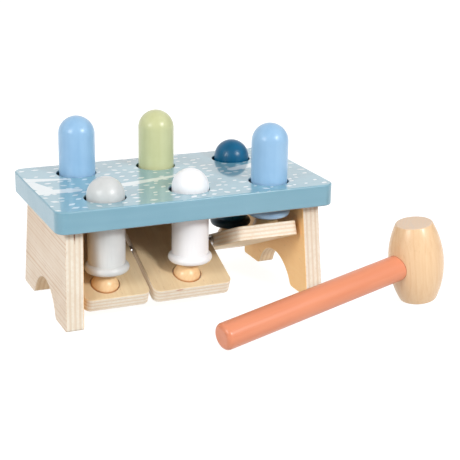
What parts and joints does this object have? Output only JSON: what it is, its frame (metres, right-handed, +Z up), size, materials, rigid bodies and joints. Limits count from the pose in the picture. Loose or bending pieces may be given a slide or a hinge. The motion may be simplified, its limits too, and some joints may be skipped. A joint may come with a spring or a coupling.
{
  "type": "toy workbench",
  "caption": "Toddler's hammering bench: domed pegs through a printed top plate stand on see-saw boards, so a struck peg lifts its partner; loose wooden hammer.",
  "frame": {"origin": "middle of the set's footprint (bench and hammer together), on the floor", "axes": "+X along the bench towards the hammer's head, +Y from the front to the back of the bench, +Z up"},
  "size_m": [0.2654, 0.1802, 0.1221],
  "materials": {
    "printed_lacquer": "smooth blue-grey lacquer with printed white flecks on the top face",
    "plywood": "clear matt varnish over light plywood, ply lines on the edges",
    "beech_pin": "plain turned dowel",
    "steel_rod": "drawn bright steel",
    "knob_hardwood": "warm clear gloss varnish",
    "natural_hardwood": "clear satin varnish",
    "coral_lacquer": "satin coral paint over turned wood",
    "light_blue_lacquer": "gloss light blue paint",
    "green_lacquer": "gloss soft green paint",
    "grey_lacquer": "gloss light grey paint",
    "white_lacquer": "gloss white paint",
    "dark_blue_lacquer": "gloss dark blue paint"
  },
  "bodies": {
    "bench": {"top_plate": "printed_lacquer", "left_leg_panel": "plywood", "right_leg_panel": "plywood", "leg_dowels": "beech_pin", "rocker_axle": "steel_rod", "axle_spacers": "steel_rod"},
    "rocker_left": {"rocker_board_left": "plywood", "knob_front_left": "knob_hardwood", "knob_back_left": "knob_hardwood"},
    "rocker_middle": {"rocker_board_middle": "plywood", "knob_front_middle": "knob_hardwood", "knob_back_middle": "knob_hardwood"},
    "rocker_right": {"rocker_board_right": "plywood", "knob_front_right": "knob_hardwood", "knob_back_right": "knob_hardwood"},
    "peg_back_left": {"peg_back_left": "light_blue_lacquer"},
    "peg_front_left": {"peg_front_left": "grey_lacquer"},
    "peg_back_middle": {"peg_back_middle": "green_lacquer"},
    "peg_front_middle": {"peg_front_middle": "white_lacquer"},
    "peg_back_right": {"peg_back_right": "dark_blue_lacquer"},
    "peg_front_right": {"peg_front_right": "light_blue_lacquer"},
    "hammer": {"hammer_head": "natural_hardwood", "hammer_handle": "coral_lacquer"}
  },
  "joints": [
    {"name": "seesaw_left", "type": "hinge", "parent": "bench", "child": "rocker_left", "pos_m": [-0.03521, 0.03309, 0.0316], "axis": [-1, 0, 0], "range_deg": [0, 45]},
    {"name": "seesaw_middle", "type": "hinge", "parent": "bench", "child": "rocker_middle", "pos_m": [-0.03521, 0.03309, 0.0316], "axis": [-1, 0, 0], "range_deg": [0, 45]},
    {"name": "seesaw_right", "type": "hinge", "parent": "bench", "child": "rocker_right", "pos_m": [-0.03521, 0.03309, 0.0316], "axis": [1, 0, 0], "range_deg": [0, 45]},
    {"name": "peg_back_left_slide", "type": "slide", "parent": "bench", "child": "peg_back_left", "axis": [0, 0, -1], "range_m": [0, 0.02635]},
    {"name": "peg_front_left_slide", "type": "slide", "parent": "bench", "child": "peg_front_left", "axis": [0, 0, 1], "range_m": [0, 0.02635]},
    {"name": "peg_back_middle_slide", "type": "slide", "parent": "bench", "child": "peg_back_middle", "axis": [0, 0, -1], "range_m": [0, 0.02635]},
    {"name": "peg_front_middle_slide", "type": "slide", "parent": "bench", "child": "peg_front_middle", "axis": [0, 0, 1], "range_m": [0, 0.02635]},
    {"name": "peg_back_right_slide", "type": "slide", "parent": "bench", "child": "peg_back_right", "axis": [0, 0, 1], "range_m": [0, 0.02635]},
    {"name": "peg_front_right_slide", "type": "slide", "parent": "bench", "child": "peg_front_right", "axis": [0, 0, -1], "range_m": [0, 0.02635]},
    {"name": "hammer_lift", "type": "slide", "parent": "bench", "child": "hammer", "axis": [0, 0, 1], "range_m": [0, 0.12]}
  ],
  "couplings": [
    {"joint": "peg_back_left_slide", "follows": "seesaw_left", "m_per_rad": 0.033523},
    {"joint": "peg_front_left_slide", "follows": "seesaw_left", "m_per_rad": 0.033523},
    {"joint": "peg_back_middle_slide", "follows": "seesaw_middle", "m_per_rad": 0.033523},
    {"joint": "peg_front_middle_slide", "follows": "seesaw_middle", "m_per_rad": 0.033523},
    {"joint": "peg_back_right_slide", "follows": "seesaw_right", "m_per_rad": 0.033523},
    {"joint": "peg_front_right_slide", "follows": "seesaw_right", "m_per_rad": 0.033523}
  ]
}
